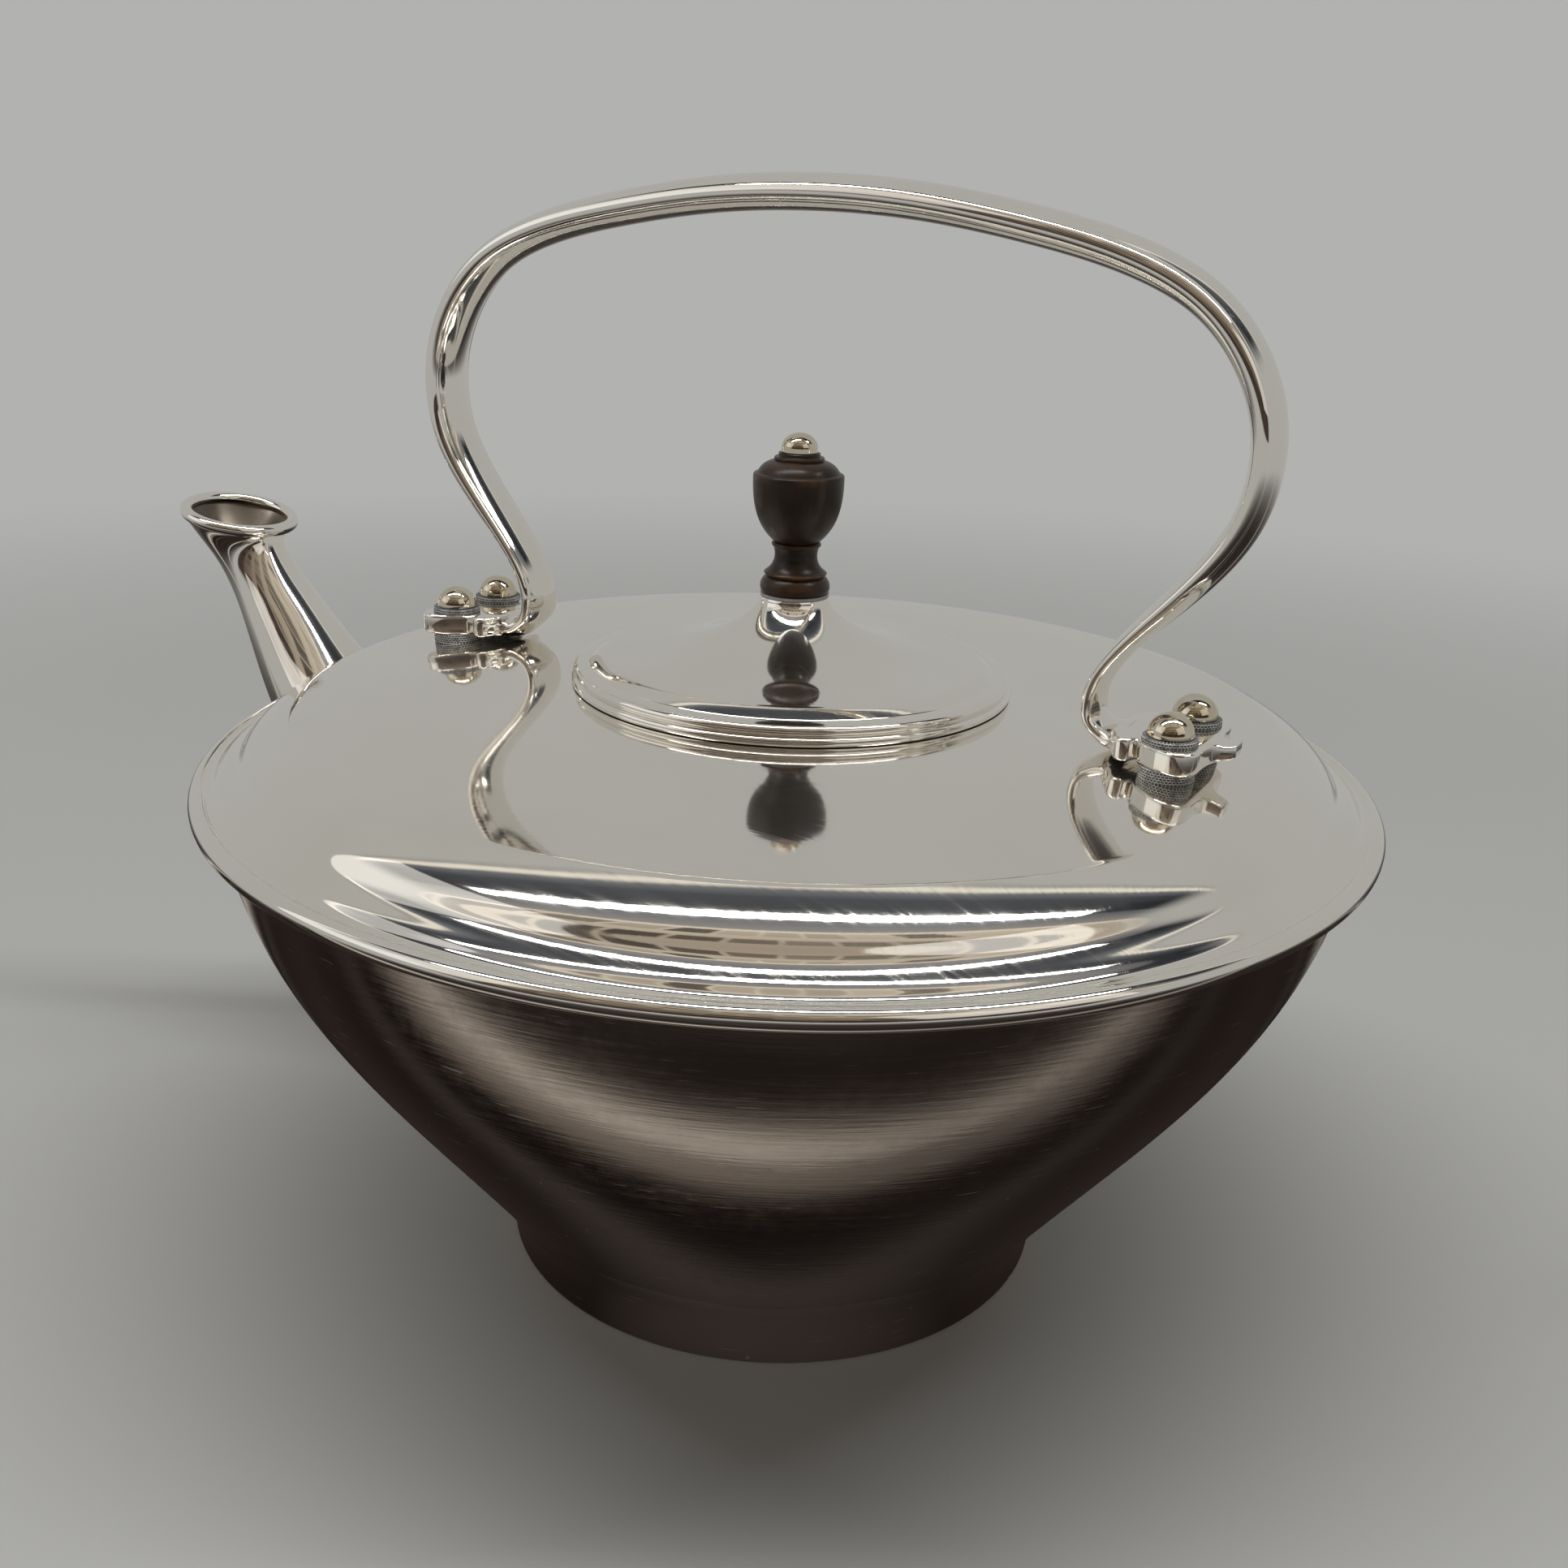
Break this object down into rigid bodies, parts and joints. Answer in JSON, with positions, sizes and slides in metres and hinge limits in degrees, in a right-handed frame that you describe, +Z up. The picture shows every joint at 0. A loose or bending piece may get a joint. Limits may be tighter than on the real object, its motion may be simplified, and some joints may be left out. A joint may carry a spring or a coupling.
{
  "type": "silver-plated kettle-form teapot",
  "caption": "Silver-plated teapot with a bowl body on a foot ring, trumpet spout, fixed overhead reeded handle on bolted leaf feet, and a lift-off lid with a turned wooden knob.",
  "frame": {"origin": "centre of the foot ring's circle, on the plane that the pot stands on", "axes": "+Z up along the pot's axis of turning; the spout points to -X; the handle lies in the XZ plane, which is also the pot's mirror plane; +Y completes the right-handed frame"},
  "size_m": [0.2549, 0.21, 0.196],
  "materials": {
    "silver_plate": "polished silver plate with a warm tint and fine hairline wear",
    "nut_plate": "polished plated nuts and bolt head, a little warmer than the pot",
    "brass_fittings": "turned brass, unpolished",
    "washer_fibre": "dark grey insulating fibre, knurled edge",
    "knob_wood": "ebonised turned hardwood, waxed, brown where the edges are worn"
  },
  "bodies": {
    "pot": {"bowl": "silver_plate", "foot_ring": "silver_plate", "shoulder": "silver_plate", "rim_bead": "silver_plate", "lid_seat_ring": "silver_plate", "spout": "silver_plate", "spout_lip": "silver_plate", "handle_rod": "silver_plate", "handle_foot_front": "silver_plate", "handle_foot_spout": "silver_plate", "lower_washers": "washer_fibre", "upper_washers": "washer_fibre", "dome_nuts": "nut_plate", "handle_studs": "brass_fittings", "stud_nuts": "brass_fittings"},
    "lid": {"lid_shell": "silver_plate", "lid_moulding": "silver_plate", "lid_bezel": "silver_plate", "knob_disc": "washer_fibre", "knob_wood": "knob_wood", "knob_bolt": "nut_plate", "knob_washer": "brass_fittings", "knob_nut": "brass_fittings"}
  },
  "joints": [
    {"name": "lid_lift", "type": "slide", "parent": "pot", "child": "lid", "axis": [0, 0, 1], "range_m": [0, 0.034]}
  ]
}
